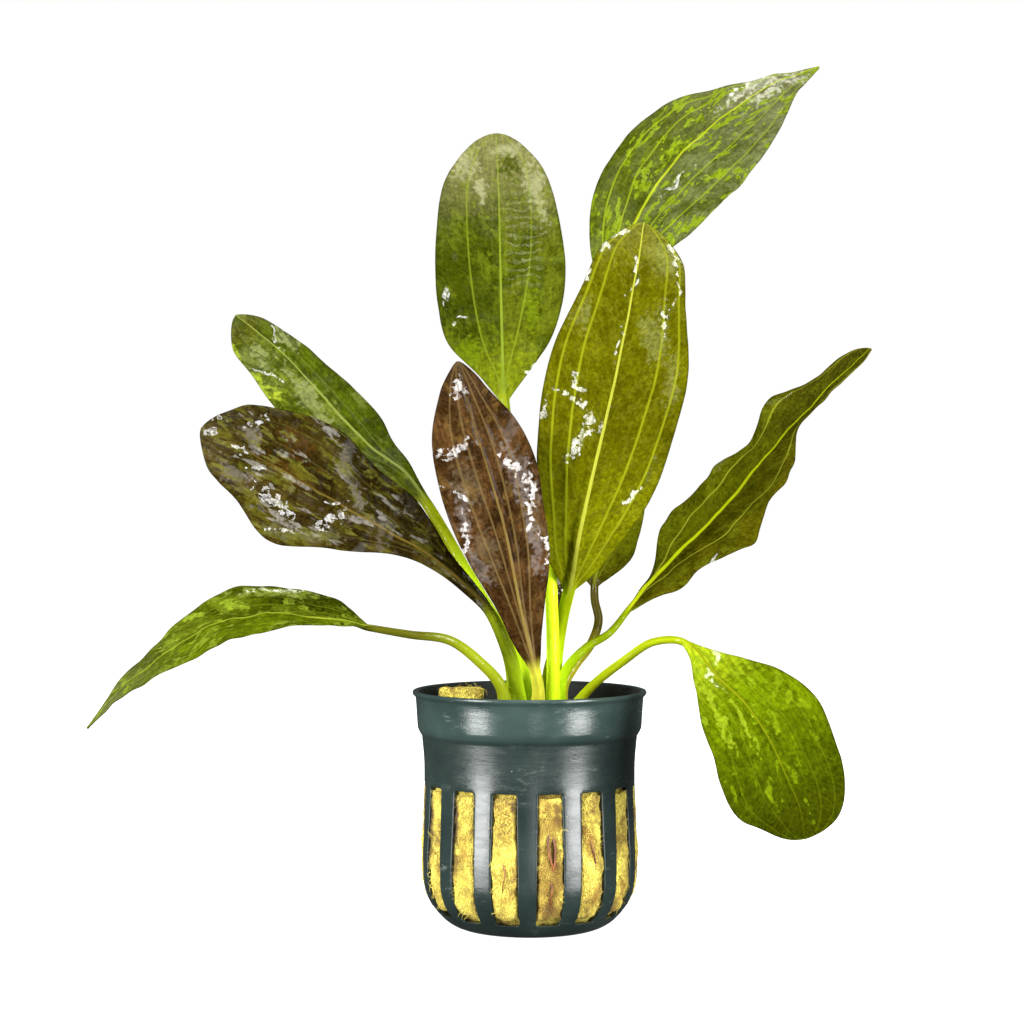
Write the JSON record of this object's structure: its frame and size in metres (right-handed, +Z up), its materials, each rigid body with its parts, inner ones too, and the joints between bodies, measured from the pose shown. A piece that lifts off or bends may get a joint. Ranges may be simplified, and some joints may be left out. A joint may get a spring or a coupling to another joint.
{
  "type": "potted amazon sword plant",
  "caption": "Broad-leaved aquarium sword plant with stalked leaves on a short crown, rooted in a rock wool plug inside a slotted plastic net pot.",
  "frame": {"origin": "centre of the pot's flat base, on the surface it stands on", "axes": "+Z up along the pot's axis; -Y is the side that the two broad upright leaves show their undersides to; +X to the right seen from there"},
  "size_m": [0.1681, 0.0811, 0.1933],
  "materials": {
    "pot_plastic": "injection moulded, dark blue green grey, semi-gloss with scuffs and fine scratches",
    "mineral_wool": "fibrous mineral wool, straw yellow with brown patches",
    "crown_tissue": "pale yellow green plant tissue, ringed and fibrous",
    "lime_mottled_leaf": "wet and semi-gloss, lime flecks on grey green, bright green margin",
    "dark_mottled_leaf": "wet and glossy, maroon brown with olive mottles",
    "grey_green_leaf": "wet and semi-gloss, green with grey sheen and lime veins",
    "red_brown_leaf": "wet and glossy underside, red brown with raised tan veins",
    "silver_green_leaf": "satin, mid green with a silvery sheen and fine cross wrinkles",
    "lime_flecked_leaf": "satin, grey green with lime flecks and lime veins",
    "olive_leaf": "wet and glossy underside, olive green with raised lime veins",
    "deep_green_leaf": "semi-gloss, deep green with a brown olive stalk",
    "dark_olive_leaf": "semi-gloss, dark olive with bright yellow green veins",
    "bright_green_leaf": "semi-gloss, bright green with darker mottles",
    "young_red_leaf": "glossy, dark red brown"
  },
  "bodies": {
    "root": {"net_pot": "pot_plastic", "rockwool_plug": "mineral_wool", "crown": "crown_tissue", "leaf_low_left": "lime_mottled_leaf", "leaf_dark_left": "dark_mottled_leaf", "leaf_upper_left": "grey_green_leaf", "leaf_red_front": "red_brown_leaf", "leaf_tall_back": "silver_green_leaf", "leaf_top_right": "lime_flecked_leaf", "leaf_broad_front": "olive_leaf", "leaf_small_back": "deep_green_leaf", "leaf_wavy_right": "dark_olive_leaf", "leaf_drooping_right": "bright_green_leaf", "leaf_young": "young_red_leaf"}
  },
  "joints": []
}
